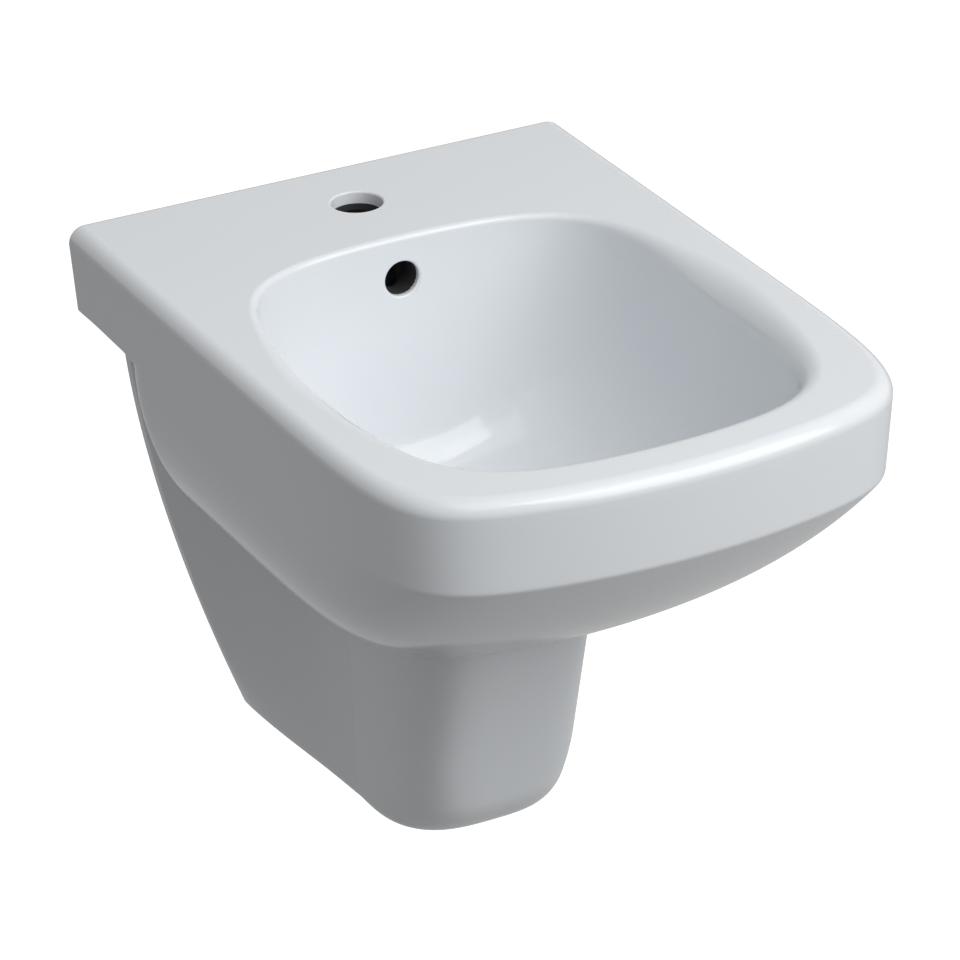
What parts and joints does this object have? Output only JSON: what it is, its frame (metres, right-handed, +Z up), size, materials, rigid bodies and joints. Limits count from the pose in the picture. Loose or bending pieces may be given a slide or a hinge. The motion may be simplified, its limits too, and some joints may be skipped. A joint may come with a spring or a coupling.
{
  "type": "wall hung bidet",
  "caption": "Wall-hung ceramic bidet: a D-shaped bowl with an upright apron and tap deck over a tapering trap cover, with its push-open waste, bottle trap and wall fixings.",
  "frame": {"origin": "midway between the two wall studs, in the plane of the wall", "axes": "+Z up, +Y into the wall, +X to the right when facing the wall; the bowl reaches out towards -Y"},
  "size_m": [0.36, 0.56, 0.386],
  "materials": {
    "glazed_ceramic": "white glazed vitreous china, glossy",
    "chrome": "polished chrome plate",
    "brass": "turned brass",
    "rubber": "matt black rubber",
    "white_plastic": "moulded white plastic, satin",
    "steel": "zinc-plated steel"
  },
  "bodies": {
    "bidet": {"ceramic_body": "glazed_ceramic", "waste_body": "chrome", "flange_seal": "rubber", "cone_washer": "rubber", "slip_washer": "white_plastic", "back_nut": "brass", "plug_housing": "white_plastic", "plug_spring": "steel", "inlet_nut": "white_plastic", "inlet_washer": "rubber", "inlet_pipe": "white_plastic", "trap_bottle": "white_plastic", "head_seal": "rubber", "head_nut": "white_plastic", "trap_cup": "white_plastic", "cup_seal": "rubber", "outlet_seal": "rubber", "outlet_nut": "white_plastic", "outlet_pipe": "white_plastic", "wall_rosette": "chrome", "wall_studs": "steel", "stud_sleeves": "white_plastic", "stud_washers": "steel", "stud_nuts": "steel"},
    "plug": {"plug_cap": "chrome", "plug_seal": "rubber", "plug_stem": "brass"}
  },
  "joints": [
    {"name": "plug_slide", "type": "slide", "parent": "bidet", "child": "plug", "axis": [0, 0, 1], "range_m": [0, 0.009], "deforming": ["plug_spring"]}
  ]
}
